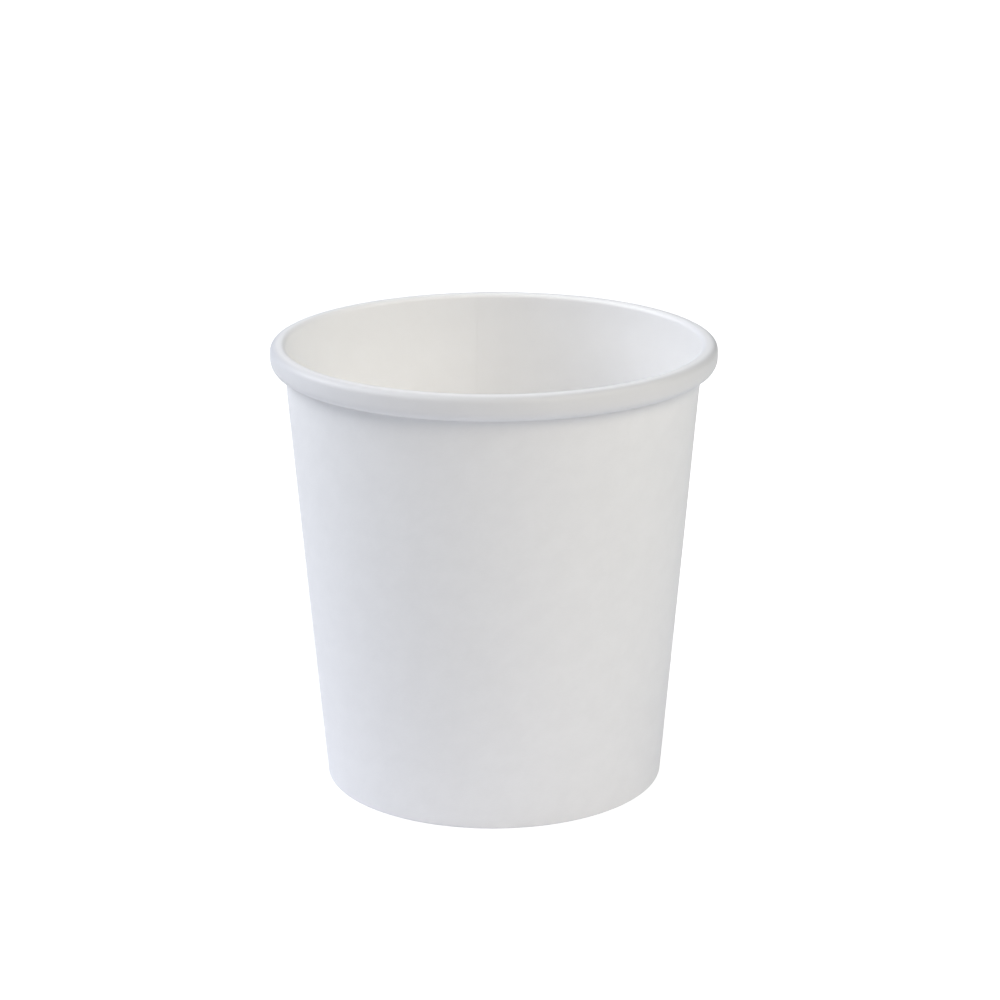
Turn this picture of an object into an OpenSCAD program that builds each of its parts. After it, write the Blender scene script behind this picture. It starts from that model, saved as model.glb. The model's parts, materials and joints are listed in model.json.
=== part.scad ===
// Paper food cup: a wall rolled from one fan-shaped blank of board, and a separate bottom.
// The wall's two ends overlap in a side seam at the back, its top edge is rolled outward into
// a rim, and its foot is folded in and up as a hem that grips the skirt of the bottom.
// Millimetres, Z up. The origin is on the axis, on the surface that the cup stands on.

/* [Cup] */
// Height from the standing face to the top of the rim
cup_h = 99; // [70:1:130]
// Outer diameter of the wall at the foot
foot_d = 75; // [66:0.5:84]
// Outer diameter over the rolled rim
rim_d = 97.5; // [92:0.5:108]

/* [Board] */
// Thickness of the wall's board
wall_t = 0.45; // [0.35:0.01:0.6]
// Thickness of the bottom's board
disc_t = 0.35; // [0.25:0.01:0.5]
// Thickness of the coating melted between two sealed layers
film_t = 0.05; // [0.03:0.01:0.1]

/* [Rolled rim] */
// Height of the roll
roll_h = 5.7; // [5:0.1:8]
// Width of the roll, from the mouth to its outer face
roll_w = 3.45; // [3.3:0.05:5]
// Radius of the turn at the mouth
mouth_r = 1.2; // [1:0.1:1.6]
// Radius of the roll's low domed top
dome_r = 5; // [4:0.5:8]
// Radius of the roll's top corner on the outside
crown_r = 1.5; // [0.8:0.1:1.6]
// Inner radius of the last turn, where the board tucks up inside the roll
tuck_in_r = 0.15; // [0.1:0.05:0.5]
// Length of board tucked up past that turn
tuck_l = 1.5; // [0.5:0.1:2]
// Gap between the tucked board and the wall
tuck_gap = 0.1; // [0.06:0.02:0.3]

/* [Foot] */
// Depth of the recess under the bottom
recess_h = 8; // [6:0.5:14]
// Distance from the top edge of the hem up to the bottom
hem_gap = 1; // [0.6:0.1:2]
// Distance from the skirt's lower edge down to the fold
skirt_gap = 0.4; // [0.2:0.1:2]
// Radius pressed on both corners of the fold
fold_r = 0.5; // [0.2:0.05:0.6]
// Outer radius of the bend between the bottom and its skirt
bend_r = 0.8; // [0.6:0.1:1.5]

/* [Side seam] */
// Width of the overlap
lap_w = 7.5; // [5:0.5:12]
// Width over which the outer layer climbs onto the inner one
ramp_w = 3; // [2:0.5:5]
// How far the doubled board stands out on the rim's outer face
lap_bump = 0.15; // [0.08:0.01:0.2]

/* [Hidden] */
$fn = 120;

rim_r = rim_d / 2;
roll_z = cup_h - roll_h;

// The mouth's turn and the dome meet on the ridge, and the dome runs down into the crown's corner.
ridge_r = rim_r - roll_w + mouth_r;
mouth_c = [ridge_r, cup_h - mouth_r];
dome_c = [ridge_r, cup_h - dome_r];
dome_a = asin((rim_r - crown_r - ridge_r) / (dome_r - crown_r));
crown_c = dome_c + (dome_r - crown_r) * [sin(dome_a), cos(dome_a)];

// The wall's outer line starts at the foot and is tangent to the underside of the mouth's turn.
from_foot = mouth_c - [foot_d / 2, 0];
taper = atan2(from_foot.x, from_foot.y) - asin((mouth_r - wall_t) / norm(from_foot));

// Each layer of the wall and foot is this wide, measured level, across the slope.
wall_w = wall_t / cos(taper);
disc_w = disc_t / cos(taper);

// Radii at height z of the layers, from the outside in
function wall_out(z) = foot_d / 2 + z * tan(taper);
function wall_in(z) = wall_out(z) - wall_w;
function skirt_out(z) = wall_in(z) - film_t;
function skirt_in(z) = skirt_out(z) - disc_w;
function hem_out(z) = skirt_in(z) - film_t;
function hem_in(z) = hem_out(z) - wall_w;

// The last turn of the roll clears the wall, and the heel takes what width is left.
tuck_r = tuck_in_r + wall_t;
tuck_z = roll_z + tuck_r;
tuck_end_z = tuck_z + tuck_l;
tuck_x = wall_out(tuck_end_z) + tuck_gap;
tuck_c = [tuck_x + tuck_r, tuck_z];
heel_r = rim_r - tuck_c.x;
heel_c = [tuck_c.x, roll_z + heel_r];

hem_z = recess_h - hem_gap;
skirt_z = wall_t + skirt_gap;
disc_top = recess_h + disc_t;
skirt_bend_c = [skirt_out(disc_top - bend_r) - bend_r, disc_top - bend_r];

// Most degrees that one chord of a bend turns through
chord = 9;
// Reach of the cutting shapes past what they cut
past = 5;

function unit(a) = [cos(a), sin(a)];
function reversed(list) = [for (i = [len(list) - 1:-1:0]) list[i]];

// Points of an arc about c from angle a0 to a1, which leave out the first where arcs meet
function arc(c, r, a0, a1, first = 0) =
    let (n = ceil(abs(a1 - a0) / chord))
        [for (i = [first:n]) c + r * unit(a0 + (a1 - a0) * i / n)];

// One face of the roll, from the top of the wall over the dome, round the heel and the last turn.
// At g = 0 it is the coated face, which the roll turns outward, and the board lies behind it.
function roll_face(g) = concat(
    arc(mouth_c, mouth_r + g, 180 - taper, 90),
    arc(dome_c, dome_r + g, 90, 90 - dome_a, 1),
    arc(crown_c, crown_r + g, 90 - dome_a, 0, 1),
    arc(heel_c, heel_r + g, 0, -90),
    arc(tuck_c, tuck_r + g, 270, 180, 1));

// The same face carried on to the cut edge inside the roll
function rim_face(g) = concat(roll_face(g), [[tuck_x - g, tuck_end_z]]);

// The outside face of the board, from the hem's edge under the fold and up the wall
function plain_face() = concat(
    [[hem_in(hem_z), hem_z]],
    arc([hem_in(fold_r) + fold_r, fold_r], fold_r, 180, 270),
    arc([wall_out(fold_r) - fold_r, fold_r], fold_r, 270, 360),
    rim_face(-wall_t));

// The inside face of the board, which is coated, from the hem's edge to the cut edge of the roll
function coated_face() = concat(
    [[hem_out(hem_z), hem_z], [hem_out(wall_t), wall_t], [wall_in(wall_t), wall_t]],
    rim_face(0));

// A band of board along the slope, between two heights, out from a given radius
module slope(r0, z0, r1, z1, w) {
    polygon([[r0, z0], [r0 + w, z0], [r1 + w, z1], [r1, z1]]);
}

// Shapes drawn upright over the foot of the wall at the back, leaned to follow its slope
module leaning(r) {
    translate([0, r, 0])
        rotate([-taper, 0, 0])
            translate([0, -r, 0])
                children();
}

// Plan of the space under one face of the seam, where that face climbs one board's thickness
// from the wall's radius r, over ramp_w, and then runs on as far as x1
module climb_plan(r, x1) {
    x0 = -lap_w / 2;
    start = x0 - ramp_w;
    y0 = sqrt(r * r - start * start);
    rise = sqrt(pow(r + wall_w, 2) - x0 * x0) - y0;
    polygon([[start, y0 - past], [start, y0], [x1, y0 + rise * (x1 - start) / ramp_w], [x1, y0 - past]]);
}

// The overlap's width, from the ground to past the rim, behind the axis
module lap_slab() {
    translate([-lap_w / 2, 0, 0])
        cube([lap_w, rim_d, cup_h + past]);
}

// The outer layer of the seam, which climbs onto the inner one and ends in a cut edge
module outer_layer() {
    half = wall_w / 2;
    intersection() {
        rotate_extrude()
            slope(wall_out(fold_r) - half, fold_r, wall_out(tuck_z) - half, tuck_z, half + wall_w);
        leaning(wall_out(0))
            linear_extrude(cup_h)
                climb_plan(wall_out(0), lap_w / 2);
    }
}

// The doubled board seen on the roll, pressed flush on top and standing out a little to the back
module rim_lap() {
    intersection() {
        translate([0, lap_bump, 0])
            rotate_extrude()
                polygon(concat(roll_face(0), reversed(roll_face(-wall_t / 2))));
        lap_slab();
    }
}

// The doubled board seen on the hem, inside the recess
module hem_lap() {
    half = wall_w / 2;
    intersection() {
        rotate_extrude()
            slope(hem_in(fold_r) - wall_w, fold_r, hem_in(hem_z) - wall_w, hem_z, half + wall_w);
        lap_slab();
    }
}

// The wedge left empty inside the cup, beside the cut edge of the inner layer
module inner_step() {
    low = disc_top + bend_r;
    leaning(wall_in(0))
        translate([0, 0, low])
            linear_extrude(mouth_c.y - low)
                climb_plan(wall_in(0), -lap_w / 2);
}

module sidewall() {
    color("white")
        difference() {
            union() {
                rotate_extrude()
                    polygon(concat(plain_face(), reversed(coated_face())));
                outer_layer();
                rim_lap();
                hem_lap();
            }
            inner_step();
        }
}

module bottom_disc() {
    color("ivory")
        rotate_extrude()
            polygon(concat(
                [[skirt_in(skirt_z), skirt_z], [skirt_out(skirt_z), skirt_z]],
                arc(skirt_bend_c, bend_r, 0, 90),
                [[0, disc_top], [0, recess_h]],
                arc(skirt_bend_c, bend_r - disc_t, 90, 0)));
}

sidewall();
bottom_disc();
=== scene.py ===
# %% [markdown]
# A paper food cup, standing on a white ground.
# The cup is two pieces of coated board. One is a fan-shaped blank, rolled into a cone, lapped and
# sealed up the back, curled outward at the rim and folded in at the foot. The other is a round
# bottom whose edge is turned down and gripped in that fold. This notebook makes both as what they
# are, sheets of one thickness that follow a section, so every edge that shows is a real cut edge.
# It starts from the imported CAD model, which says how large everything is.

import json
from math import asin, atan2, ceil, cos, degrees, hypot, pi, radians, sin, tan

import bpy
from mathutils import Matrix, Vector


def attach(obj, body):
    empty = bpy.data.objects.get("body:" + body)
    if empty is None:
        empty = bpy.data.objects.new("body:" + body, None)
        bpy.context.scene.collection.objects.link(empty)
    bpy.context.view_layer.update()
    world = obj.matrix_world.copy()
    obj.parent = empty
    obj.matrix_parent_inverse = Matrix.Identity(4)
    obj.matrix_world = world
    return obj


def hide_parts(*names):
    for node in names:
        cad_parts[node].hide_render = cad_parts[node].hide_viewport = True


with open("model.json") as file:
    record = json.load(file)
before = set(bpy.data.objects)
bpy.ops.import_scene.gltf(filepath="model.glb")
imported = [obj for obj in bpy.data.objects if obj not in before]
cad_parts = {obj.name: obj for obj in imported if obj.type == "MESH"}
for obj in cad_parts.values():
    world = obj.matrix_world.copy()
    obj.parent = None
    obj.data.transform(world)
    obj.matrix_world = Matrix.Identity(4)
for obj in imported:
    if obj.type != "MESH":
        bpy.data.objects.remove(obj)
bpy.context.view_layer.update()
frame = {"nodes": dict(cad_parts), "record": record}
print("CAD nodes:", sorted(frame["nodes"]))

# %% [markdown]
# The sizes are those of the part's own source, in metres. Where the frame can say the same thing,
# such as the radius of the rim that a lid closes on, it is read from there, so that the sheet can't
# drift away from the solid it stands for.

# %% Sizes of the cup
MM = 0.001
CUP_H = 99 * MM
FOOT_R = 37.5 * MM
WALL_T = 0.45 * MM
DISC_T = 0.35 * MM
FILM_T = 0.05 * MM
ROLL_H = 5.7 * MM
ROLL_W = 3.45 * MM
MOUTH_R = 1.2 * MM
DOME_R = 5 * MM
CROWN_R = 1.5 * MM
TUCK_IN_R = 0.15 * MM
TUCK_L = 1.5 * MM
TUCK_GAP = 0.1 * MM
RECESS_H = 8 * MM
HEM_GAP = 1 * MM
SKIRT_GAP = 0.4 * MM
FOLD_R = 0.5 * MM
BEND_R = 0.8 * MM
LAP_W = 7.5 * MM
RAMP_W = 3 * MM
LAP_BUMP = 0.15 * MM

mounts = {mount["name"]: mount for mount in frame["record"]["mounts"]}
RIM_R = mounts["lid_seat"]["dims"]["r_mm"] * MM

# %% [markdown]
# The wall is tangent to the turn at the mouth, so its slope isn't chosen: it is the angle of the
# line from the foot to the underside of that turn. With the slope known, the radius of each layer
# of the foot follows from the board's thickness, from the outside in.

# %% Slope of the wall and radii of its layers
RIDGE_R = RIM_R - ROLL_W + MOUTH_R
mouth_centre = (RIDGE_R, CUP_H - MOUTH_R)
run, rise = mouth_centre[0] - FOOT_R, mouth_centre[1]
SLOPE = atan2(run, rise) - asin((MOUTH_R - WALL_T) / hypot(run, rise))


def wall_out(z):
    """Outer radius of the wall at height z."""
    return FOOT_R + z * tan(SLOPE)


def layer_in(z, *widths):
    """Radius at height z after going in from the wall's outside through layers of these widths."""
    return wall_out(z) - sum(widths) / cos(SLOPE)


TO_SKIRT = (WALL_T, FILM_T)
TO_HEM = (WALL_T, FILM_T, DISC_T, FILM_T)
print(f"the wall leans out by {degrees(SLOPE):.2f} degrees")

# %% [markdown]
# A sheet is described by its section: the middle line of the board, row by row, from one cut edge
# to the other. Each row also says which way the coated face looks, how far along the blank it
# lies, and how two layers share the room where the ends of the blank overlap. That last pair is
# `proud`, how far the lap stands out on the coated side, and `room`, how far it may reach from the
# coated side toward the plain side. On the wall there is room for two boards. In the roll and the
# fold the press has squeezed both into little more than one.

# %% Sections as rows
CHORD = radians(12)


class Section:
    """Rows of a board's middle line, joined by straights, with turns put in as arcs."""

    def __init__(self, thickness):
        self.half = thickness / 2
        self.rows = []
        self.along = 0.0

    def row(self, r, z, coated, proud=0.0, room=1.0, hem=0.0):
        """One row, at radius r and height z, whose coated face looks along coated."""
        if self.rows:
            last = self.rows[-1]
            self.along += hypot(r - last["r"], z - last["z"])
        proud *= max(0.0, coated[0])
        self.rows.append(dict(r=r, z=z, coated=coated, along=self.along, proud=proud, room=room, hem=hem))

    def turn(self, centre, face_r, start, stop, outward, skip=0, **lap):
        """A turn about a centre. The face away from the centre is at face_r, and outward says
        whether that face is the coated one. A turn that carries on from the last one skips a row."""
        middle = face_r - self.half
        steps = ceil(abs(stop - start) / CHORD)
        for i in range(skip, steps + 1):
            angle = start + (stop - start) * i / steps
            way = (cos(angle), sin(angle))
            side = 1 if outward else -1
            self.row(centre[0] + middle * way[0], centre[1] + middle * way[1],
                     (side * way[0], side * way[1]), **lap)

    def straight(self, start, stop, count, coated, **lap):
        """Rows strictly between two points, evenly spaced. A lap value may be a (from, to) pair."""
        for i in range(1, count + 1):
            f = i / (count + 1)
            here = {k: v[0] + (v[1] - v[0]) * f if isinstance(v, tuple) else v for k, v in lap.items()}
            self.row(start[0] + (stop[0] - start[0]) * f, start[1] + (stop[1] - start[1]) * f,
                     coated, **here)


print(f"a turn is cut into steps of {degrees(CHORD):.0f} degrees or less")

# %% [markdown]
# The wall's section starts at the cut edge of the hem, inside the foot. It runs down the hem, round
# the two corners of the pressed fold, up the wall, over the mouth, round the crown and the heel of
# the roll, and ends at the cut edge that is tucked up inside the roll.

# %% Section of the side wall
inward = (-cos(SLOPE), sin(SLOPE))
outward = (cos(SLOPE), -sin(SLOPE))
roll_z = CUP_H - ROLL_H
tuck_r = TUCK_IN_R + WALL_T
tuck_x = wall_out(roll_z + tuck_r + TUCK_L) + TUCK_GAP
heel_x = tuck_x + tuck_r
heel_r = RIM_R - heel_x
hem_z = RECESS_H - HEM_GAP
middle = WALL_T / 2

HEM_LAP = dict(room=1.7)
FOLD_LAP = dict(room=1.0)
WALL_LAP = dict(room=1.8)
ROLL_LAP = dict(proud=LAP_BUMP / WALL_T, room=1.0)

wall = Section(WALL_T)
hem_line = [(layer_in(z, *TO_HEM, middle), z) for z in (hem_z, FOLD_R)]
wall.row(*hem_line[0], outward, hem=0.0, **HEM_LAP)
wall.straight(hem_line[0], hem_line[1], 6, outward, hem=1.0, **HEM_LAP)
fold_in = layer_in(FOLD_R, *TO_HEM, WALL_T) + FOLD_R
fold_out = wall_out(FOLD_R) - FOLD_R
wall.turn((fold_in, FOLD_R), FOLD_R, pi - SLOPE, 1.5 * pi, False, **FOLD_LAP)
wall.turn((fold_out, FOLD_R), FOLD_R, 1.5 * pi, 2 * pi - SLOPE, False, **FOLD_LAP)
foot_line = [(layer_in(z, middle), z) for z in (FOLD_R, 4 * MM, roll_z - 2 * MM)]
wall.straight(foot_line[0], foot_line[1], 3, inward, room=(1.0, WALL_LAP["room"]))
wall.straight(foot_line[1], foot_line[2], 20, inward, **WALL_LAP)
mouth_start = [c + (MOUTH_R - middle) * way for c, way in zip(mouth_centre, inward)]
wall.straight(foot_line[2], mouth_start, 5, inward,
              room=(WALL_LAP["room"], 1.0), proud=(0.0, ROLL_LAP["proud"]))
dome_turn = asin((RIM_R - CROWN_R - RIDGE_R) / (DOME_R - CROWN_R))
dome_centre = (RIDGE_R, CUP_H - DOME_R)
crown_centre = (RIM_R - CROWN_R, dome_centre[1] + (DOME_R - CROWN_R) * cos(dome_turn))
wall.turn(mouth_centre, MOUTH_R, pi - SLOPE, pi / 2, True, **ROLL_LAP)
wall.turn(dome_centre, DOME_R, pi / 2, pi / 2 - dome_turn, True, skip=1, **ROLL_LAP)
wall.turn(crown_centre, CROWN_R, pi / 2 - dome_turn, 0, True, skip=1, **ROLL_LAP)
face = [(RIM_R - middle, crown_centre[1]), (RIM_R - middle, roll_z + heel_r)]
wall.straight(face[0], face[1], 1, (1, 0), **ROLL_LAP)
wall.turn((heel_x, roll_z + heel_r), heel_r, 0, -pi / 2, True, **ROLL_LAP)
wall.turn((heel_x, roll_z + tuck_r), tuck_r, -pi / 2, -pi, True, skip=1, **ROLL_LAP)
tuck = [(tuck_x + middle, roll_z + tuck_r), (tuck_x + middle, roll_z + tuck_r + TUCK_L)]
wall.straight(tuck[0], tuck[1], 2, (-1, 0), **ROLL_LAP)
print(f"wall section: {len(wall.rows)} rows, {wall.along / MM:.1f} mm of board from edge to edge")

# %% [markdown]
# The bottom's section starts at its centre and runs flat to the bend, round it, and down the skirt
# to the cut edge above the fold. It is swept once round with no overlap.

# %% Section of the bottom
disc_mid_z = RECESS_H + DISC_T / 2
bend_z = RECESS_H + DISC_T - BEND_R
bend_centre = (layer_in(bend_z, *TO_SKIRT) - BEND_R, bend_z)
skirt_z = WALL_T + SKIRT_GAP

bottom = Section(DISC_T)
bottom.row(0.0, disc_mid_z, (0, 1))
bottom.straight((0.0, disc_mid_z), (bend_centre[0], disc_mid_z), 22, (0, 1))
bottom.turn(bend_centre, BEND_R, pi / 2, -SLOPE, True)
skirt_line = [(layer_in(z, *TO_SKIRT, DISC_T / 2), z) for z in (bend_z, skirt_z)]
bottom.straight(skirt_line[0], skirt_line[1], 8, outward)
bottom.row(*skirt_line[1], outward)
print(f"bottom section: {len(bottom.rows)} rows, blank {2 * bottom.along / MM:.1f} mm across")

# %% [markdown]
# Geometry Nodes turn a section into a sheet. A node tree is a list of nodes and the wires between
# them, and written out it gets long, so a few small helpers keep the code readable. One adds a node
# and fills its inputs, with values or with other nodes' outputs. The others do the same for a line
# of arithmetic, for a named input of a tree, and for a value that falls off smoothly.

# %% Helpers for node trees
def add(tree, kind, inputs=None, **settings):
    """Adds a node, sets it up, and fills its inputs with values or other nodes' outputs."""
    node = tree.nodes.new(kind)
    for name, value in settings.items():
        setattr(node, name, value)
    for key, value in (inputs or {}).items():
        if isinstance(value, bpy.types.NodeSocket):
            tree.links.new(value, node.inputs[key])
        else:
            node.inputs[key].default_value = value
    return node


def calc(tree, operation, *values):
    """One Math node. Returns its output."""
    return add(tree, "ShaderNodeMath", dict(enumerate(values)), operation=operation).outputs[0]


def vector_calc(tree, operation, *values, out="Vector", **named):
    """One Vector Math node. Returns its output."""
    inputs = {**dict(enumerate(values)), **named}
    return add(tree, "ShaderNodeVectorMath", inputs, operation=operation).outputs[out]


def socket(tree, name, kind, way="INPUT", value=None):
    """Adds a named socket to a tree's own interface."""
    made = tree.interface.new_socket(name=name, in_out=way, socket_type="NodeSocket" + kind)
    if value is not None:
        made.default_value = value
    return made


def smooth_fall(tree, distance, start, width):
    """1 up to a distance, falling smoothly to 0 over a width past it."""
    node = add(tree, "ShaderNodeMapRange", {
        "Value": distance, "From Min": start, "From Max": calc(tree, "ADD", start, width),
        "To Min": 1.0, "To Max": 0.0}, interpolation_type="SMOOTHSTEP")
    return node.outputs["Result"]


print("helpers:", [helper.__name__ for helper in (add, calc, vector_calc, socket, smooth_fall)])

# %% [markdown]
# No rolled cup is a perfect cone. The press leaves the wall about a tenth of a millimetre out of
# round. The roll sits a little to one side of the wall under it, and it is squeezed slightly oval,
# as the photograph's outline shows. Both pieces must be pushed out of shape together, or the
# bottom would cut through the wall, so the push is a node group of its own that reads only where
# a point is, and both sheets use it.

# %% Node group: how far the press left a point out of true
# The roll's shift begins this far under its heel and is whole this much higher.
ROLL_STARTS = 3 * MM
ROLL_FADES = 4.5 * MM
WAVES_PER_METRE = 26.0
WAVE_DRAW = 3.7


def build_out_of_true():
    """Builds the group. The waves go through the whole cup, the lean and the squeeze are the roll's."""
    tree = bpy.data.node_groups.new("out_of_true", "GeometryNodeTree")
    socket(tree, "Place", "Vector")
    socket(tree, "Waviness", "Float", value=0.12 * MM)
    socket(tree, "Lean", "Float", value=0.24 * MM)
    socket(tree, "Squeeze", "Float", value=0.1 * MM)
    socket(tree, "Height", "Float", value=CUP_H)
    socket(tree, "Roll", "Float", value=ROLL_H)
    socket(tree, "Push", "Vector", "OUTPUT")
    given = add(tree, "NodeGroupInput").outputs
    x, y, z = add(tree, "ShaderNodeSeparateXYZ", {0: given["Place"]}).outputs
    noise = add(tree, "ShaderNodeTexNoise", {
        "Vector": vector_calc(tree, "MULTIPLY", given["Place"], (1.0, 1.0, 0.6)),
        "Scale": WAVES_PER_METRE, "Detail": 1.0}, noise_dimensions="4D")
    noise.inputs["W"].default_value = WAVE_DRAW
    swing = calc(tree, "MULTIPLY", calc(tree, "SUBTRACT", noise.outputs[0], 0.5), 2.0)
    radial = vector_calc(tree, "NORMALIZE", vector_calc(tree, "MULTIPLY", given["Place"], (1.0, 1.0, 0.0)))
    wave = vector_calc(tree, "SCALE", radial, Scale=calc(tree, "MULTIPLY", swing, given["Waviness"]))
    heel_z = calc(tree, "SUBTRACT", given["Height"], given["Roll"])
    below_roll = calc(tree, "SUBTRACT", heel_z, ROLL_STARTS)
    at_roll = calc(tree, "SUBTRACT", 1.0, smooth_fall(tree, z, below_roll, ROLL_FADES))
    narrow = calc(tree, "MULTIPLY", calc(tree, "DIVIDE", x, RIM_R), given["Squeeze"])
    lean = calc(tree, "MULTIPLY", calc(tree, "SUBTRACT", given["Lean"], narrow), at_roll)
    shift = add(tree, "ShaderNodeCombineXYZ", {"X": lean}).outputs[0]
    add(tree, "NodeGroupOutput", {"Push": vector_calc(tree, "ADD", wave, shift)})
    return tree


out_of_true = build_out_of_true()
print("out_of_true:", len(out_of_true.nodes), "nodes")

# %% [markdown]
# The sheet starts as a flat grid, with one column of vertices for each step round the cup and one
# vertex in it for each row of the section. A vertex of the grid only knows its own number. The tree
# works out from it which row and which column the vertex is in, and Sample Index then fetches what
# the section says of that row. That way one tree sweeps any section, long or short.

# %% Sheet tree: what the section says of a vertex
ROW_FACTS = ("coated", "along", "proud", "room", "hem")


def number_vertices(tree, given):
    """For each vertex of the grid, its row in the section and its share of the way round."""
    index = add(tree, "GeometryNodeInputIndex").outputs[0]
    row = calc(tree, "FLOORED_MODULO", index, given["Rows"])
    column = calc(tree, "FLOOR", calc(tree, "DIVIDE", calc(tree, "ADD", index, 0.5), given["Rows"]))
    return row, calc(tree, "DIVIDE", column, given["Steps"])


def read_section(tree, given, row):
    """The place of a row of the section and its facts, fetched for each vertex of the grid."""
    said = {}
    for name in ("place", *ROW_FACTS):
        kind = "FLOAT_VECTOR" if name in ("place", "coated") else "FLOAT"
        if name == "place":
            source = add(tree, "GeometryNodeInputPosition").outputs[0]
        else:
            fact = add(tree, "GeometryNodeInputNamedAttribute", {"Name": name}, data_type=kind)
            source = fact.outputs["Attribute"]
        said[name] = add(tree, "GeometryNodeSampleIndex", {
            "Geometry": given["Section"], "Value": source, "Index": row},
            data_type=kind, clamp=True).outputs["Value"]
    return said


print("a row of the section carries:", ROW_FACTS)

# %% [markdown]
# The blank is longer than the way round the cup, by the overlap. Seen from above the sheet runs
# clockwise, from its inner cut edge to its outer one, and the lap is centred on the back of the cup.
# A vertex has to know its azimuth, and how far it is from either cut edge, because everything that
# happens at the lap is measured from there.

# %% Sheet tree: the way round the cup
def go_round(tree, given, radius, share):
    """Azimuth of each vertex, and its distances from the inner and from the outer cut edge."""
    lap_angle = calc(tree, "DIVIDE", given["Overlap"], radius)
    half_lap = calc(tree, "MULTIPLY", lap_angle, 0.5)
    whole = calc(tree, "ADD", lap_angle, 2 * pi)
    start_angle = calc(tree, "ADD", half_lap, pi / 2)
    azimuth = calc(tree, "SUBTRACT", start_angle, calc(tree, "MULTIPLY", whole, share))
    length = calc(tree, "MULTIPLY", whole, radius)
    from_inner = calc(tree, "MULTIPLY", length, share)
    from_outer = calc(tree, "SUBTRACT", length, from_inner)
    return azimuth, from_inner, from_outer


print(f"the lap takes up {degrees(LAP_W / RIM_R):.1f} degrees of the rim")

# %% [markdown]
# Near the blank's two ends the inner layer slides toward the coated side and the outer layer toward
# the plain side, so they lie on each other instead of through each other. The inner end is pared
# thin before it is sealed, so that no liquid soaks in at its edge, and the outer end is pared a
# little too, so the seam between the layers runs at a slant through the lap. Both faces are worked
# out as depths under the place that the coated face has where there is only one layer.

# %% Sheet tree: depths of the two faces
FILM_LEFT = 0.5


def face_depths(tree, given, said, from_inner, from_outer):
    """Depths of the coated and of the plain face at each vertex."""
    thickness, overlap = given["Thickness"], given["Overlap"]
    lapped = calc(tree, "GREATER_THAN", overlap, 0.0)
    inner = calc(tree, "MULTIPLY", smooth_fall(tree, from_inner, overlap, given["Ramp"]), lapped)
    outer = calc(tree, "MULTIPLY", smooth_fall(tree, from_outer, overlap, given["Ramp"]), lapped)
    proud = calc(tree, "MULTIPLY", said["proud"], thickness)
    room = calc(tree, "MULTIPLY", said["room"], thickness)
    depth = calc(tree, "ADD", room, proud)
    skived = calc(tree, "SUBTRACT", calc(tree, "SUBTRACT", 1.0, given["Outer edge"]), given["Inner edge"])

    def meeting(from_inner_edge):
        """Depth at which the two layers meet, this far across the lap from the inner cut edge."""
        across = add(tree, "ShaderNodeClamp", {0: calc(tree, "DIVIDE", from_inner_edge, overlap)})
        part = calc(tree, "MULTIPLY_ADD", across.outputs[0], skived, given["Inner edge"])
        return calc(tree, "SUBTRACT", calc(tree, "MULTIPLY", depth, part), proud)

    # The press squeezes the film between the layers, and each of them gives way for half of it.
    film = calc(tree, "MULTIPLY", given["Film"], FILM_LEFT / 2)
    outer_top = calc(tree, "ADD", meeting(calc(tree, "SUBTRACT", overlap, from_outer)), film)
    inner_foot = calc(tree, "SUBTRACT", meeting(from_inner), film)
    coated_depth = calc(tree, "SUBTRACT",
        calc(tree, "MULTIPLY", outer, outer_top), calc(tree, "MULTIPLY", inner, proud))
    plain_depth = calc(tree, "ADD", thickness, calc(tree, "ADD",
        calc(tree, "MULTIPLY", inner, calc(tree, "SUBTRACT", inner_foot, thickness)),
        calc(tree, "MULTIPLY", outer, calc(tree, "SUBTRACT", room, thickness))))
    return coated_depth, plain_depth


def knurl_depth(tree, given, hem, azimuth):
    """Depth of the grooves that the foot's tool presses into the plain side of the hem."""
    beat = calc(tree, "COSINE", calc(tree, "MULTIPLY", azimuth, given["Knurls"]))
    groove = calc(tree, "MULTIPLY", calc(tree, "ADD", beat, 1.0), 0.5)
    return calc(tree, "MULTIPLY", calc(tree, "MULTIPLY", groove, hem), given["Knurl depth"])


print(f"the film is squeezed to {FILM_LEFT * FILM_T / MM:.3f} mm in the lap")

# %% [markdown]
# With azimuth and depths known, each vertex gets three places: where the coated face puts it, where
# the plain face puts it, and where it lies on the flat blank. The last is what the fibres of the
# paper follow, since they were there before the board was bent. The wall's blank is laid out as a
# strip and the bottom's as a disc, so that neither pattern is stretched or pinched at the middle.

# %% Sheet tree: places on the cup and on the blank
def round_the_axis(tree, azimuth, r, z):
    """A point in the section's plane, turned about the axis of the cup."""
    x = calc(tree, "MULTIPLY", r, calc(tree, "COSINE", azimuth))
    y = calc(tree, "MULTIPLY", r, calc(tree, "SINE", azimuth))
    return add(tree, "ShaderNodeCombineXYZ", {0: x, 1: y, 2: z}).outputs[0]


def face_places(tree, given, said, azimuth, depths):
    """Where a face at each of these depths puts a vertex, with the board pushed out of true."""
    radius, _, height = add(tree, "ShaderNodeSeparateXYZ", {0: said["place"]}).outputs
    look_r, _, look_z = add(tree, "ShaderNodeSeparateXYZ", {0: said["coated"]}).outputs
    middle_point = round_the_axis(tree, azimuth, radius, height)
    look = round_the_axis(tree, azimuth, look_r, look_z)
    push = add(tree, "GeometryNodeGroup", {"Place": middle_point}, node_tree=out_of_true)
    pushed = vector_calc(tree, "ADD", middle_point, push.outputs["Push"])
    half = calc(tree, "MULTIPLY", given["Thickness"], 0.5)
    places = []
    for depth in depths:
        out = vector_calc(tree, "SCALE", look, Scale=calc(tree, "SUBTRACT", half, depth))
        places.append(vector_calc(tree, "ADD", pushed, out))
    return places


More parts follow.
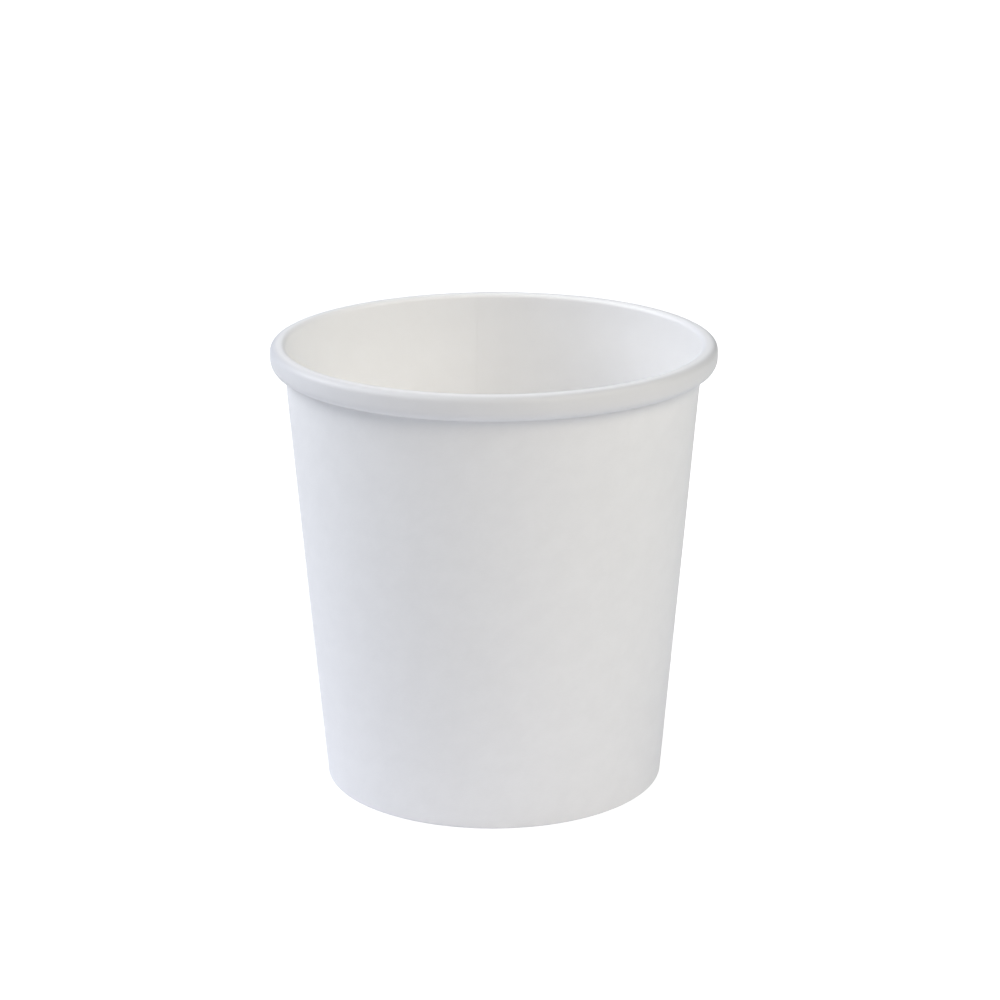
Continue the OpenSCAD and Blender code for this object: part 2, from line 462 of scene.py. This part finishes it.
def blank_place(tree, given, along, azimuth, from_inner):
    """Where a vertex lies on the flat blank, in metres."""
    strip = add(tree, "ShaderNodeCombineXYZ", {0: from_inner, 1: along}).outputs[0]
    disc = round_the_axis(tree, azimuth, along, 0.0)
    either = add(tree, "ShaderNodeMix", {"Factor": given["Round blank"], 4: strip, 5: disc},
                 data_type="VECTOR")
    return either.outputs[1]


print(f"the wall's blank is laid out as a strip {wall.along / MM:.1f} mm high")

# %% [markdown]
# The grid becomes the coated face. It could get its thickness from a Solidify modifier, but that
# makes both faces follow one rule, and at the lap they don't. So the grid is extruded instead, and
# the vertices that come from the extrusion are moved to where the plain face is. The walls of the
# extrusion are the cut edges. The sheet is closed, and the tree still knows which face is which
# when it gives out the finishes.

# %% Sheet tree: from a grid to a closed sheet
WELD = 0.002 * MM
LEFT_BEHIND = 0.01 * MM


def close_sheet(tree, given, grid, coated_place, plain_place, blank):
    """A closed sheet with its finishes, made from the grid and the three places of its vertices."""
    # The places are kept on the grid's own points, because extruding renumbers them.
    keep = add(tree, "GeometryNodeCaptureAttribute", domain="POINT")
    kept = {"Coated point": coated_place, "Plain point": plain_place, "Blank": blank}
    for name in kept:
        keep.capture_items.new("VECTOR", name)
    for name, place in {"Geometry": grid, **kept}.items():
        tree.links.new(place, keep.inputs[name])

    coated = add(tree, "GeometryNodeSetPosition", {
        "Geometry": keep.outputs["Geometry"], "Position": keep.outputs["Coated point"]})
    welded = add(tree, "GeometryNodeMergeByDistance", {"Geometry": coated.outputs[0], "Distance": WELD})
    pulled = add(tree, "GeometryNodeExtrudeMesh", {
        "Mesh": welded.outputs[0], "Offset Scale": calc(tree, "MULTIPLY", given["Thickness"], -1.0),
        "Individual": False}, mode="FACES")
    here = add(tree, "GeometryNodeInputPosition").outputs[0]
    way_off = vector_calc(tree, "DISTANCE", here, keep.outputs["Coated point"], out="Value")
    plain = add(tree, "GeometryNodeSetPosition", {
        "Geometry": pulled.outputs["Mesh"], "Selection": calc(tree, "GREATER_THAN", way_off, LEFT_BEHIND),
        "Position": keep.outputs["Plain point"]})
    turned = add(tree, "GeometryNodeFlipFaces", {"Mesh": plain.outputs[0]})
    both = add(tree, "GeometryNodeJoinGeometry")
    tree.links.new(turned.outputs[0], both.inputs[0])
    tree.links.new(welded.outputs[0], both.inputs[0])
    closed = add(tree, "GeometryNodeMergeByDistance", {"Geometry": both.outputs[0], "Distance": WELD})
    mapped = add(tree, "GeometryNodeStoreNamedAttribute", {
        "Geometry": closed.outputs[0], "Name": "blank", "Value": keep.outputs["Blank"]},
        data_type="FLOAT2", domain="CORNER")
    real = add(tree, "GeometryNodeRealizeInstances", {"Geometry": mapped.outputs[0]})
    done = add(tree, "GeometryNodeSetMaterial", {
        "Geometry": real.outputs[0], "Material": given["Coated face"]})
    for part, finish in (("Top", "Plain face"), ("Side", "Cut edge")):
        done = add(tree, "GeometryNodeSetMaterial", {
            "Geometry": done.outputs[0], "Selection": pulled.outputs[part], "Material": given[finish]})
    return done.outputs[0]


print(f"vertices closer than {WELD / MM} mm are welded")

# %% [markdown]
# What is left is to put the parts in order, under one set of named inputs. These are what a maker
# of cups would ask for: how thick the board is, how far it overlaps, how thin its edges are pared,
# and how many knurls the foot has.

# %% Node tree: a sheet swept round the cup
def build_sheet_tree():
    """Builds the tree that sweeps a section round the cup and closes it into a sheet."""
    tree = bpy.data.node_groups.new("sheet_round_the_cup", "GeometryNodeTree")
    socket(tree, "Section", "Geometry")
    socket(tree, "Steps", "Int", value=360)
    socket(tree, "Rows", "Int", value=10)
    socket(tree, "Thickness", "Float", value=WALL_T)
    socket(tree, "Overlap", "Float", value=0.0)
    socket(tree, "Ramp", "Float", value=RAMP_W)
    socket(tree, "Film", "Float", value=FILM_T)
    socket(tree, "Inner edge", "Float", value=0.05)
    socket(tree, "Outer edge", "Float", value=0.3)
    socket(tree, "Round blank", "Float", value=0.0)
    socket(tree, "Knurls", "Int", value=96)
    socket(tree, "Knurl depth", "Float", value=0.0)
    for name in ("Coated face", "Plain face", "Cut edge"):
        socket(tree, name, "Material")
    socket(tree, "Sheet", "Geometry", "OUTPUT")
    given = add(tree, "NodeGroupInput").outputs

    columns = calc(tree, "ADD", given["Steps"], 1)
    grid = add(tree, "GeometryNodeMeshGrid", {"Vertices X": columns, "Vertices Y": given["Rows"]})
    row, share = number_vertices(tree, given)
    said = read_section(tree, given, row)
    radius = add(tree, "ShaderNodeSeparateXYZ", {0: said["place"]}).outputs[0]
    azimuth, from_inner, from_outer = go_round(tree, given, radius, share)
    coated_depth, plain_depth = face_depths(tree, given, said, from_inner, from_outer)
    knurl = knurl_depth(tree, given, said["hem"], azimuth)
    depths = (coated_depth, calc(tree, "SUBTRACT", plain_depth, knurl))
    coated_place, plain_place = face_places(tree, given, said, azimuth, depths)
    blank = blank_place(tree, given, said["along"], azimuth, from_inner)
    sheet = close_sheet(tree, given, grid.outputs["Mesh"], coated_place, plain_place, blank)
    add(tree, "NodeGroupOutput", {"Sheet": sheet})
    return tree


sheet_tree = build_sheet_tree()
print("sheet_round_the_cup:", len(sheet_tree.nodes), "nodes")

# %% [markdown]
# The board is paper, so its finish comes from fibres. Seen close it is never one even white: pulp
# settles in clouds a few millimetres across, and single fibres lie mostly the way the paper machine
# ran. Both patterns belong to the flat blank, so they are looked up on it, through the `blank` map
# that the tree stored in metres, and they bend and turn with the sheet. They are made once, as a
# shader node group, and every finish of the cup uses that.

# %% Shader group: the fibres of the board
CLOUD_SWELL = 0.6


def texture_noise(tree, place, size, detail=2.0, rough=0.5):
    """A noise whose features are about this many millimetres, from a place in metres."""
    scale = calc(tree, "DIVIDE", 1 / MM, size)
    return add(tree, "ShaderNodeTexNoise", {
        "Vector": place, "Scale": scale, "Detail": detail, "Roughness": rough}).outputs[0]


def build_paper_fibre():
    """Builds the group. Fibres lie along the blank's first direction, and clouds have none."""
    tree = bpy.data.node_groups.new("paper_fibre", "ShaderNodeTree")
    socket(tree, "Blank", "Vector")
    socket(tree, "Cloud size", "Float", value=5.0)
    socket(tree, "Fibre width", "Float", value=0.22)
    socket(tree, "Fibre stretch", "Float", value=5.0)
    socket(tree, "Clouds", "Float", "OUTPUT")
    socket(tree, "Fibres", "Float", "OUTPUT")
    socket(tree, "Height", "Float", "OUTPUT")
    given = add(tree, "NodeGroupInput").outputs
    x, y, z = add(tree, "ShaderNodeSeparateXYZ", {0: given["Blank"]}).outputs
    shortened = calc(tree, "DIVIDE", x, given["Fibre stretch"])
    drawn_out = add(tree, "ShaderNodeCombineXYZ", {0: shortened, 1: y, 2: z}).outputs[0]
    clouds = texture_noise(tree, given["Blank"], given["Cloud size"], detail=3.0, rough=0.6)
    fibres = texture_noise(tree, drawn_out, given["Fibre width"], detail=3.0, rough=0.55)
    height = calc(tree, "MULTIPLY_ADD", clouds, CLOUD_SWELL, fibres)
    add(tree, "NodeGroupOutput", {"Clouds": clouds, "Fibres": fibres, "Height": height})
    return tree


paper_fibre = build_paper_fibre()
print("paper_fibre:", len(paper_fibre.nodes), "nodes")

# %% [markdown]
# The machine leaves its marks too. Where the side seam was heated and pressed the board is flatter
# and a shade darker, in a band with uneven borders. Where the sheet was forced round the rim and the
# fold it is crowded into fine creases that run across the roll. A second group gives a mask for the
# one and a height for the other. It reads the place on the object for the band, since the seam is
# at the back, and the place on the blank for the creases.

# %% Shader group: marks of the press
# The seam's border wanders in patches of so many millimetres. The roll and the fold start softly.
BORDER_PATCH = 4.0
BORDER_WANDER = 1.6 * MM
BORDER_SOFT = 0.8 * MM
BACK_HALF = 30 * MM
ROLLED_SOFT = 1.2 * MM
FOLDED_SOFT = 1.5 * MM
CREASE_STRETCH = 0.12


def soft_step(tree, value, start, stop):
    """0 below start, 1 past stop, and smooth between."""
    return add(tree, "ShaderNodeMapRange", {"Value": value, "From Min": start, "From Max": stop},
               interpolation_type="SMOOTHSTEP").outputs["Result"]


def build_press_marks():
    """Builds the group. It puts out masks for the seam and the roll, and the creases' height."""
    tree = bpy.data.node_groups.new("press_marks", "ShaderNodeTree")
    socket(tree, "Place", "Vector")
    socket(tree, "Blank", "Vector")
    socket(tree, "Seam width", "Float", value=LAP_W)
    socket(tree, "Rolled from", "Float", value=0.1)
    socket(tree, "Folded to", "Float", value=0.01)
    socket(tree, "Crease width", "Float", value=0.7)
    for name in ("Seam", "Rolled", "Creases"):
        socket(tree, name, "Float", "OUTPUT")
    given = add(tree, "NodeGroupInput").outputs
    x, y, z = add(tree, "ShaderNodeSeparateXYZ", {0: given["Place"]}).outputs
    u, v, _ = add(tree, "ShaderNodeSeparateXYZ", {0: given["Blank"]}).outputs
    wander = calc(tree, "SUBTRACT", texture_noise(tree, given["Place"], BORDER_PATCH), 0.5)
    uneven = calc(tree, "MULTIPLY", wander, BORDER_WANDER)
    off_seam = calc(tree, "ADD", calc(tree, "ABSOLUTE", x), uneven)
    half = calc(tree, "MULTIPLY", given["Seam width"], 0.5)
    past_border = soft_step(tree, off_seam, half, calc(tree, "ADD", half, BORDER_SOFT))
    near = calc(tree, "SUBTRACT", 1.0, past_border)
    seam = calc(tree, "MULTIPLY", near, calc(tree, "GREATER_THAN", y, BACK_HALF))
    roll_starts, fold_ends = given["Rolled from"], given["Folded to"]
    rolled = soft_step(tree, v, roll_starts, calc(tree, "ADD", roll_starts, ROLLED_SOFT))
    past_fold = soft_step(tree, v, fold_ends, calc(tree, "ADD", fold_ends, FOLDED_SOFT))
    folded = calc(tree, "SUBTRACT", 1.0, past_fold)
    stretched = calc(tree, "MULTIPLY", v, CREASE_STRETCH)
    across = add(tree, "ShaderNodeCombineXYZ", {0: u, 1: stretched}).outputs[0]
    creases = texture_noise(tree, across, given["Crease width"], rough=0.6)
    worked = calc(tree, "MULTIPLY", creases, calc(tree, "MAXIMUM", rolled, folded))
    add(tree, "NodeGroupOutput", {"Seam": seam, "Rolled": rolled, "Creases": worked})
    return tree


press_marks = build_press_marks()
print("press_marks:", len(press_marks.nodes), "nodes")

# %% [markdown]
# A finish has to know where on the sheet the rim and the fold begin, because the tools that made
# them left their creases there, and the rim's painted shade starts there too. The section says it:
# both are distances along the board, measured from the cut edge of the hem, so they are read from
# its rows instead of being set by eye.

# %% Where the rim and the fold begin
FOLD_MARKS = 2 * MM
ROLLED_FROM = next(row["along"] for row in wall.rows if row["r"] > RIDGE_R and row["z"] > CUP_H - MOUTH_R)
FOLDED_TO = next(row["along"] for row in wall.rows if row["z"] <= FOLD_R) + pi * FOLD_R + FOLD_MARKS
print(f"folded up to {FOLDED_TO / MM:.1f} mm, rolled from {ROLLED_FROM / MM:.1f} mm along the board")

# %% [markdown]
# The finishes differ in what lies on the fibres. Outside there is nothing on them, so the board is
# matt. Inside is a thin film of polyethylene: it fills the tooth of the paper and has a low, wide
# sheen. Its colour is painted whiter than the outside, partly for the film and partly as painted
# light that stands in for light coming through the board. Round the rim the colour is painted a
# darker grey, which is painted shade on the outside of the roll. The cut edges are raw pulp, creamier
# than either face and rough. One function builds them all, since they are the same board, and its
# arguments say what is different.

# %% Finishes of the board
# How much of the tone comes from clouds and from fibres, and how strongly the tools' marks show.
CLOUD_PART = 0.65
FIBRE_PART = 0.35
DARKER = 0.985
PRESSED = 0.3
IRONED = 0.04
SHEEN_CHANGE = 0.04
CREASE_DEPTH = 1.5
BOARD_IOR = 1.5


def tone(tree, factor, first, second):
    """A tone between two, each of them three numbers or another node's output."""
    ends = [end if isinstance(end, bpy.types.NodeSocket) else (*end, 1.0) for end in (first, second)]
    mix = add(tree, "ShaderNodeMix", {"Factor": factor, 6: ends[0], 7: ends[1]}, data_type="RGBA")
    return mix.outputs[2]


def darker(colour):
    """The tone that a tool's pressure leaves, and the darker end of the rim's painted shade."""
    return tuple(DARKER * part for part in colour)


def board_finish(name, white, shade, roughness, tooth, painted_rim_shade=None, cloud_size=5.0):
    """A finish of the board. White and shade are its two tones, tooth is the fibres' height in
    millimetres, and painted_rim_shade is the painted shade of the rolled part, if it has one."""
    material = bpy.data.materials.new(name)
    material.use_nodes = True
    tree = material.node_tree
    surface = tree.nodes["Principled BSDF"]
    blank = add(tree, "ShaderNodeUVMap", uv_map="blank").outputs[0]
    place = add(tree, "ShaderNodeTexCoord").outputs["Object"]
    fibre = add(tree, "ShaderNodeGroup", {"Blank": blank, "Cloud size": cloud_size},
                node_tree=paper_fibre).outputs
    marks = add(tree, "ShaderNodeGroup", {
        "Place": place, "Blank": blank, "Rolled from": ROLLED_FROM, "Folded to": FOLDED_TO},
        node_tree=press_marks).outputs

    clouded = calc(tree, "MULTIPLY", fibre["Clouds"], CLOUD_PART)
    fleck = calc(tree, "MULTIPLY_ADD", fibre["Fibres"], FIBRE_PART, clouded)
    spread = soft_step(tree, fleck, 0.3, 0.7)
    pressed = calc(tree, "MULTIPLY", marks["Seam"], PRESSED)
    colour = tone(tree, pressed, tone(tree, spread, shade, white), darker(shade))
    # The rolled part of the rim is painted a darker, cool grey: painted shade on the outside of the roll.
    if painted_rim_shade:
        rim_shade_tone = tone(tree, spread, darker(painted_rim_shade), painted_rim_shade)
        colour = tone(tree, marks["Rolled"], colour, rim_shade_tone)
    tree.links.new(colour, surface.inputs["Base Color"])

    off_middle = calc(tree, "SUBTRACT", fibre["Clouds"], 0.5)
    change = calc(tree, "MULTIPLY", off_middle, 2 * SHEEN_CHANGE)
    ironed = calc(tree, "MULTIPLY", marks["Seam"], IRONED)
    rough = calc(tree, "SUBTRACT", calc(tree, "ADD", change, roughness), ironed)
    tree.links.new(rough, surface.inputs["Roughness"])

    height = calc(tree, "MULTIPLY_ADD", marks["Creases"], CREASE_DEPTH, fibre["Height"])
    bump = add(tree, "ShaderNodeBump", {"Height": height, "Distance": tooth * MM, "Strength": 1.0})
    tree.links.new(bump.outputs[0], surface.inputs["Normal"])
    surface.inputs["IOR"].default_value = BOARD_IOR
    return material


board_outside = board_finish("board_outside", (0.81, 0.81, 0.81), (0.785, 0.785, 0.785), 0.66, 0.008)
# The inside's whiter colour is partly the film and partly painted light for light coming through the board;
# the rim's tone is painted shade.
board_inside = board_finish("board_inside", (0.935, 0.930, 0.923), (0.921, 0.915, 0.906), 0.46, 0.004,
                            painted_rim_shade=(0.730, 0.730, 0.736), cloud_size=7.0)
board_edge = board_finish("board_edge", (0.83, 0.81, 0.77), (0.77, 0.75, 0.70), 0.85, 0.012,
                          cloud_size=0.6)
print("finishes:", [material.name for material in (board_outside, board_inside, board_edge)])

# %% [markdown]
# The node tree can't read a Python list, so the section becomes a small mesh, a chain of points whose
# attributes carry the facts of each row. The tree reads them from it by row number.

# %% A section as a mesh
def section_object(name, section):
    """The section as a chain of points in the XZ plane, each carrying the facts of its row."""
    rows = section.rows
    mesh = bpy.data.meshes.new(name)
    points = [(row["r"], 0.0, row["z"]) for row in rows]
    mesh.from_pydata(points, [(i, i + 1) for i in range(len(rows) - 1)], [])
    for fact in ROW_FACTS:
        if fact == "coated":
            layer = mesh.attributes.new(fact, "FLOAT_VECTOR", "POINT")
            layer.data.foreach_set("vector", [v for row in rows for v in (row[fact][0], 0.0, row[fact][1])])
        else:
            layer = mesh.attributes.new(fact, "FLOAT", "POINT")
            layer.data.foreach_set("value", [row[fact] for row in rows])
    made = bpy.data.objects.new(name, mesh)
    bpy.context.scene.collection.objects.link(made)
    return made


wall_chain = section_object("side_wall_board", wall)
bottom_chain = section_object("bottom_board", bottom)
print("sections:", [(chain.name, len(chain.data.vertices)) for chain in (wall_chain, bottom_chain)])

# %% [markdown]
# Now the sheets are made. The tree runs as a modifier. Its result is taken as a plain mesh and the
# modifier is removed, so that the piece holds exactly what was swept. Only edges that turn by more
# than 40 degrees stay sharp, which are those along the cuts. The wall gets more steps round than the
# bottom, because its rim makes the silhouette.

# %% Make the sheets
SHARP = radians(40)
WALL_STEPS = 480
BOTTOM_STEPS = 360
KNURL_DEPTH = 0.14 * MM


def run_tree(piece, tree, values):
    """Gives a piece its node tree, sets the inputs, and turns the result into a plain mesh."""
    modifier = piece.modifiers.new(tree.name, "NODES")
    modifier.node_group = tree
    for item in tree.interface.items_tree:
        if item.item_type == "SOCKET" and item.in_out == "INPUT" and item.name in values:
            modifier[item.identifier] = values[item.name]
    bpy.context.view_layer.update()
    graph = bpy.context.evaluated_depsgraph_get()
    mesh = bpy.data.meshes.new_from_object(piece.evaluated_get(graph), depsgraph=graph)
    piece.modifiers.remove(modifier)
    piece.data = mesh
    mesh.set_sharp_from_angle(angle=SHARP)
    triangles = sum(len(polygon.vertices) - 2 for polygon in mesh.polygons)
    print(f"{piece.name}: {len(mesh.vertices)} vertices, {triangles} triangles")
    return piece


FACES = {"Coated face": board_inside, "Plain face": board_outside, "Cut edge": board_edge}
side_wall = run_tree(wall_chain, sheet_tree, {
    **FACES, "Steps": WALL_STEPS, "Rows": len(wall.rows), "Thickness": WALL_T, "Overlap": LAP_W,
    "Knurl depth": KNURL_DEPTH})
bottom_piece = run_tree(bottom_chain, sheet_tree, {
    **FACES, "Steps": BOTTOM_STEPS, "Rows": len(bottom.rows), "Thickness": DISC_T, "Round blank": 1.0})

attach(side_wall, "root")
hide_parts("sidewall")
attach(bottom_piece, "root")
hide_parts("bottom_disc")

# %% [markdown]
# The camera stands where the photographer's did. Its distance, its height and its lens come from
# fitting a pinhole camera to the outline of the cup: the distance shows in how much narrower the
# far rim looks than the near one, and the height in how round the mouth looks. It aims at a point
# on the cup's axis and is then turned by small angles, up, to the right and about the view itself.

# %% Camera
CAMERA_DISTANCE = 655.05 * MM
CAMERA_RISE = radians(18.315)
AIM_HEIGHT = 45 * MM
LOOK_UP = radians(1.475)
LOOK_RIGHT = radians(0.131)
CAMERA_ROLL = radians(-0.149)
FOCAL_PIXELS = 2938.8
FRAME_PIXELS = 1000
SENSOR = 36.0

aim = Vector((0.0, 0.0, AIM_HEIGHT))
lens_place = aim + CAMERA_DISTANCE * Vector((0.0, -cos(CAMERA_RISE), sin(CAMERA_RISE)))
ahead = (aim - lens_place).normalized()
right = Vector((1.0, 0.0, 0.0))
up = right.cross(ahead)
level = ahead * cos(LOOK_RIGHT) + right * sin(LOOK_RIGHT)
ahead = (level * cos(LOOK_UP) + up * sin(LOOK_UP)).normalized()
right = ahead.cross(Vector((0.0, 0.0, 1.0))).normalized()
up = right.cross(ahead)
rolled_right = right * cos(CAMERA_ROLL) + up * sin(CAMERA_ROLL)
rolled_up = up * cos(CAMERA_ROLL) - right * sin(CAMERA_ROLL)
turn = Matrix((rolled_right, rolled_up, -ahead)).transposed().to_4x4()
lens = bpy.data.cameras.new("camera")
lens.sensor_width = SENSOR
lens.lens = SENSOR * FOCAL_PIXELS / FRAME_PIXELS
lens.clip_start = 0.01
camera = bpy.data.objects.new("camera", lens)
camera.matrix_world = Matrix.Translation(lens_place) @ turn
bpy.context.scene.collection.objects.link(camera)
bpy.context.scene.camera = camera
print(f"camera: {lens.lens:.0f} mm lens, {CAMERA_DISTANCE:.3f} m from where it aims")

# %% [markdown]
# The photograph was taken on a lit white table: the ground is pure white, light comes up from it
# onto the lower wall, and hardly any shadow is left. So the ground has two sides here. To the
# camera it is a little diffuse paint over a glow that is weakest round the cup, so it comes out
# white everywhere but in the faint contact shadow. To every other ray it is white paint that
# also glows near the cup and fades out, which is why the wall is lighter toward the foot and
# the underside of the rim isn't dark.

# %% Ground
# The table is what lights the cup from below, and the seen values are what the camera gets, where
# 1 is white. Near the cup ends and far from it begins between the two glow distances.
GROUND_HALF = 3.0
TABLE_GLOW = 0.173
TABLE_TINT = (0.705, 0.73, 1.0)
GLOW_FROM = 80 * MM
GLOW_TO = 220 * MM
SEEN_NEAR = 0.82
SEEN_FAR = 1.0
TABLE_PAINT = 0.85
SEEN_PAINT = 0.35
WHITE = (1.0, 1.0, 1.0)

scene = bpy.context.scene
corners = [(-1, -1), (1, -1), (1, 1), (-1, 1)]
ground_mesh = bpy.data.meshes.new("white_ground")
ground_mesh.from_pydata([(x * GROUND_HALF, y * GROUND_HALF, 0.0) for x, y in corners], [], [(0, 1, 2, 3)])
ground = bpy.data.objects.new("white_ground", ground_mesh)
scene.collection.objects.link(ground)


def painted_and_glowing(tree, paint, glow, tint):
    """A diffuse paint with a glow added to it."""
    painted = add(tree, "ShaderNodeBsdfDiffuse", {"Color": (paint, paint, paint, 1.0)}).outputs[0]
    glowing = add(tree, "ShaderNodeEmission", {"Color": (*tint, 1.0), "Strength": glow})
    return add(tree, "ShaderNodeAddShader", {0: painted, 1: glowing.outputs[0]}).outputs[0]


ground_finish = bpy.data.materials.new("white_ground")
ground_finish.use_nodes = True
tree = ground_finish.node_tree
tree.nodes.clear()
ray = add(tree, "ShaderNodeLightPath").outputs
place = add(tree, "ShaderNodeTexCoord").outputs["Object"]
from_cup = vector_calc(tree, "LENGTH", place, out="Value")
near_cup = smooth_fall(tree, from_cup, GLOW_FROM, GLOW_TO - GLOW_FROM)
table = painted_and_glowing(tree, TABLE_PAINT, calc(tree, "MULTIPLY", near_cup, TABLE_GLOW), TABLE_TINT)
whiter = calc(tree, "MULTIPLY", near_cup, SEEN_FAR - SEEN_NEAR)
seen = painted_and_glowing(tree, SEEN_PAINT, calc(tree, "SUBTRACT", SEEN_FAR, whiter), WHITE)
either = add(tree, "ShaderNodeMixShader", {0: ray["Is Camera Ray"], 1: table, 2: seen})
add(tree, "ShaderNodeOutputMaterial", {"Surface": either.outputs[0]})
ground_mesh.materials.append(ground_finish)
print(f"ground: {2 * GROUND_HALF:.0f} m across, {len(tree.nodes)} nodes in its finish")

# %% [markdown]
# Past the ground's edge the camera must see the same white, while the light that the world gives the
# cup is set by itself. A Light Path node tells the two apart.

# %% World
ROOM_FILL = 0.19
ROOM_TINT = (0.53, 0.68, 1.0)

world = bpy.data.worlds.new("studio")
scene.world = world
world.use_nodes = True
tree = world.node_tree
tree.nodes.clear()
ray = add(tree, "ShaderNodeLightPath").outputs
room = add(tree, "ShaderNodeBackground", {"Color": (*ROOM_TINT, 1.0), "Strength": ROOM_FILL}).outputs[0]
white = add(tree, "ShaderNodeBackground", {"Strength": 1.0}).outputs[0]
either = add(tree, "ShaderNodeMixShader", {0: ray["Is Camera Ray"], 1: room, 2: white})
add(tree, "ShaderNodeOutputWorld", {"Surface": either.outputs[0]})
scene.view_settings.view_transform = "Standard"
print(f"world: {ROOM_FILL} of room light on the cup, and white behind it")

# %% [markdown]
# Four softboxes stand round the cup, two at the left and two at the right, where the photograph's
# wall has its bright bands. Each is placed by the way it lies, counted from the camera's side
# toward the right, and by how high it stands over the ground.

# %% Softboxes
LAMP_AIM = Vector((0.0, 0.0, 50 * MM))
LAMP_DISTANCE = 1.5
LAMP_SIZE = 0.9


def softbox(name, way, height, power, colour):
    """A square lamp at this angle from the camera's side and this angle over the ground."""
    data = bpy.data.lights.new(name, "AREA")
    data.shape = "SQUARE"
    data.size = LAMP_SIZE
    data.energy = power
    data.color = colour
    lamp = bpy.data.objects.new(name, data)
    turn, rise = radians(way), radians(height)
    toward = Vector((cos(rise) * sin(turn), -cos(rise) * cos(turn), sin(rise)))
    lamp.location = LAMP_AIM + LAMP_DISTANCE * toward
    lamp.rotation_euler = (LAMP_AIM - lamp.location).to_track_quat("-Z", "Y").to_euler()
    scene.collection.objects.link(lamp)
    return lamp


softbox("left_window", -110, 35, 13.9, (0.95, 0.96, 1.0))
softbox("left_high", -65, 50, 6.0, (0.96, 0.98, 1.0))
softbox("front_softbox", 30, 35, 7.9, (1.0, 0.895, 0.715))
softbox("right_softbox", 75, 35, 6.8, (1.0, 1.0, 0.92))

# %% [markdown]
# Last, the size of each sheet is printed. The sheets must fill the box of the solids that they stand
# for, and they may pass it only by the little that the roll is out of true.

# %% Sizes of the dressed model
for piece in (side_wall, bottom_piece):
    print(piece.name, "is", [round(side / MM, 2) for side in piece.dimensions], "mm")
